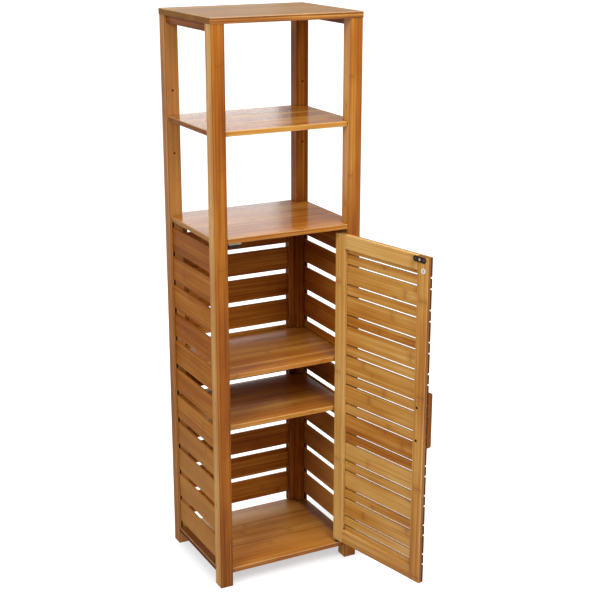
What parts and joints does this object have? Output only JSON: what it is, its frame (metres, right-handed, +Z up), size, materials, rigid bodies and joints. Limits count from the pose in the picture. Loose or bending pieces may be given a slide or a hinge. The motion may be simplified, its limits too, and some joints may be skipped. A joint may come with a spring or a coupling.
{
  "type": "bathroom cabinet",
  "caption": "Tall narrow slatted bamboo bathroom cabinet on four square posts, with an open shelf under the top and a hinged slatted door over inner shelves.",
  "frame": {"origin": "on the floor, under the middle of the four posts", "axes": "+X to the right along the front, the front faces -Y, +Z up"},
  "size_m": [0.4426, 0.5868, 1.4],
  "materials": {
    "bamboo": "clear lacquered bamboo, semi-gloss",
    "dowel_wood": "plain",
    "pin_metal": "plain",
    "screw_metal": "plain",
    "catch_plate": "black",
    "bumper": "white",
    "catch_body": "off-white",
    "magnet": "plain",
    "pivot_metal": "plain",
    "bush": "plain"
  },
  "bodies": {
    "cabinet": {"back_slats": "bamboo", "back_stile_left": "bamboo", "back_stile_right": "bamboo", "bottom_board": "bamboo", "cabinet_top_board": "bamboo", "catch_magnet": "magnet", "catch_screws": "screw_metal", "fixed_board_dowels": "dowel_wood", "lower_inner_shelf": "bamboo", "lower_pivot": "pivot_metal", "lower_shelf_pins": "pin_metal", "magnetic_catch": "catch_body", "open_shelf": "bamboo", "open_shelf_pins": "pin_metal", "post_back_left": "bamboo", "post_back_right": "bamboo", "post_front_left": "bamboo", "post_front_right": "bamboo", "side_slats_left": "bamboo", "side_slats_right": "bamboo", "top_board": "bamboo", "top_board_dowels": "dowel_wood", "top_rail_left": "bamboo", "top_rail_right": "bamboo", "upper_inner_shelf": "bamboo", "upper_pivot": "pivot_metal", "upper_shelf_pins": "pin_metal"},
    "door": {"catch_plate": "catch_plate", "catch_plate_screws": "screw_metal", "door_bottom_rail": "bamboo", "door_bumper": "bumper", "door_free_stile": "bamboo", "door_handle": "bamboo", "door_hinge_stile": "bamboo", "door_narrow_slat_01": "bamboo", "door_narrow_slat_02": "bamboo", "door_narrow_slat_03": "bamboo", "door_narrow_slat_04": "bamboo", "door_narrow_slat_05": "bamboo", "door_narrow_slat_06": "bamboo", "door_narrow_slat_07": "bamboo", "door_narrow_slat_08": "bamboo", "door_narrow_slat_09": "bamboo", "door_narrow_slat_10": "bamboo", "door_top_rail": "bamboo", "door_wide_slat_01": "bamboo", "door_wide_slat_02": "bamboo", "door_wide_slat_03": "bamboo", "door_wide_slat_04": "bamboo", "door_wide_slat_05": "bamboo", "door_wide_slat_06": "bamboo", "door_wide_slat_07": "bamboo", "door_wide_slat_08": "bamboo", "door_wide_slat_09": "bamboo", "door_wide_slat_10": "bamboo", "door_wide_slat_11": "bamboo", "handle_screws": "screw_metal", "lower_pivot_bush": "bush", "upper_pivot_bush": "bush"}
  },
  "joints": [
    {"name": "door_hinge", "type": "hinge", "parent": "cabinet", "child": "door", "pos_m": [0.1452, -0.1389, 0.463], "axis": [0, 0, 1], "range_deg": [-103, 4]}
  ]
}
